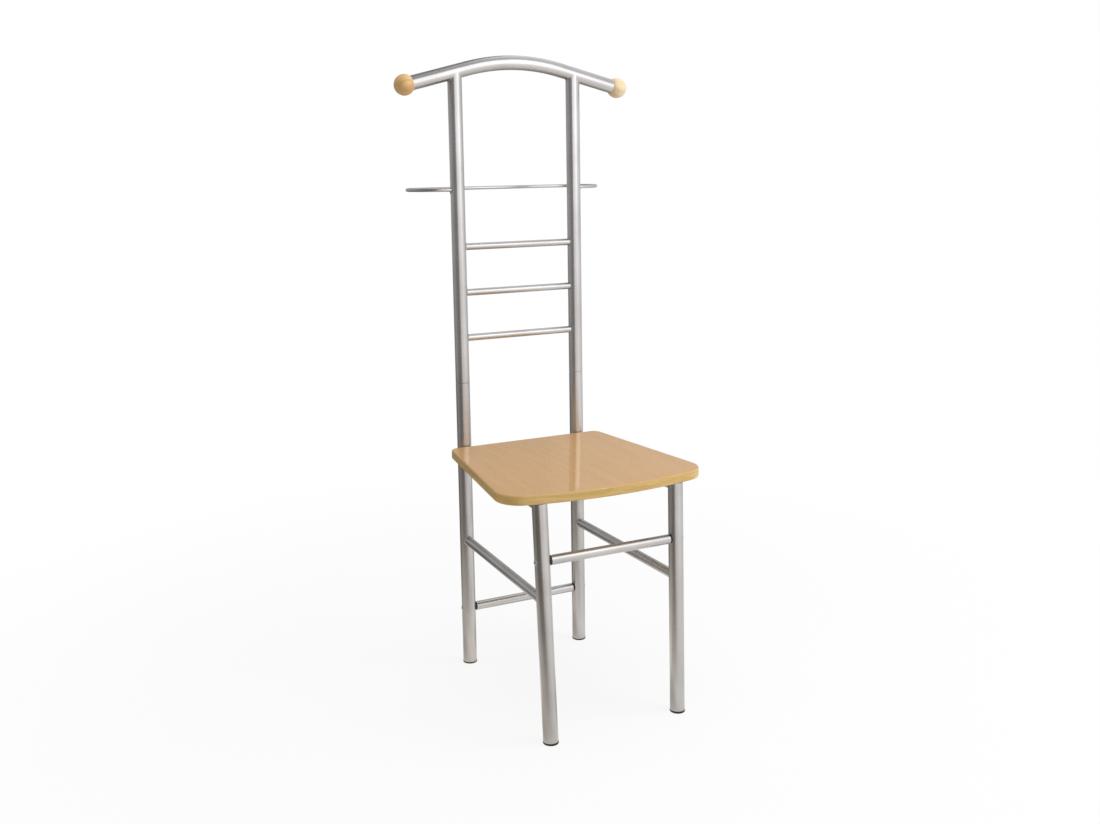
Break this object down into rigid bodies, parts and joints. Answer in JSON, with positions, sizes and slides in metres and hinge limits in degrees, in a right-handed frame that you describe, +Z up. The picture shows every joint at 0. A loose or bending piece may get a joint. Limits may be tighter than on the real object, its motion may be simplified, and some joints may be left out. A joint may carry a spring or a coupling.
{
  "type": "clothes valet chair",
  "caption": "Clothes valet chair: silver steel-tube frame with a hanger-shaped top bar, wooden end balls, a rod hoop and rungs, and a lacquered beech seat board.",
  "frame": {"origin": "on the floor, under the middle of the outer box", "axes": "+X to the viewer's right, the front of the seat faces -Y, +Z up"},
  "size_m": [0.45, 0.4952, 1.0999],
  "materials": {
    "silver_tube": "satin silver metallic lacquer on steel tube",
    "zinc_steel": "bright zinc plated steel",
    "beech_board": "glossy clear lacquer on beech veneer",
    "beech_ball": "satin clear lacquer on turned solid beech",
    "black_plastic": "moulded black polyethylene"
  },
  "bodies": {
    "base": {"left_rear_post": "silver_tube", "right_rear_post": "silver_tube", "left_front_leg": "silver_tube", "right_front_leg": "silver_tube", "left_side_stretcher": "silver_tube", "right_side_stretcher": "silver_tube", "left_seat_rail": "silver_tube", "right_seat_rail": "silver_tube", "front_stretcher": "silver_tube", "rear_stretcher": "silver_tube", "stretcher_inserts": "black_plastic", "frame_bolts": "zinc_steel", "seat_board": "beech_board", "seat_screws": "zinc_steel", "left_rear_glide": "black_plastic", "right_rear_glide": "black_plastic", "left_front_glide": "black_plastic", "right_front_glide": "black_plastic"},
    "back_frame": {"left_upright": "silver_tube", "right_upright": "silver_tube", "left_spigot": "zinc_steel", "right_spigot": "zinc_steel", "hanger_bar": "silver_tube", "left_ball": "beech_ball", "right_ball": "beech_ball", "upper_rung": "silver_tube", "middle_rung": "silver_tube", "lower_rung": "silver_tube", "rod_hoop": "silver_tube"}
  },
  "joints": [
    {"name": "back_lift", "type": "slide", "parent": "base", "child": "back_frame", "axis": [0, 0.0314, 0.9995], "range_m": [0, 0.065]}
  ]
}
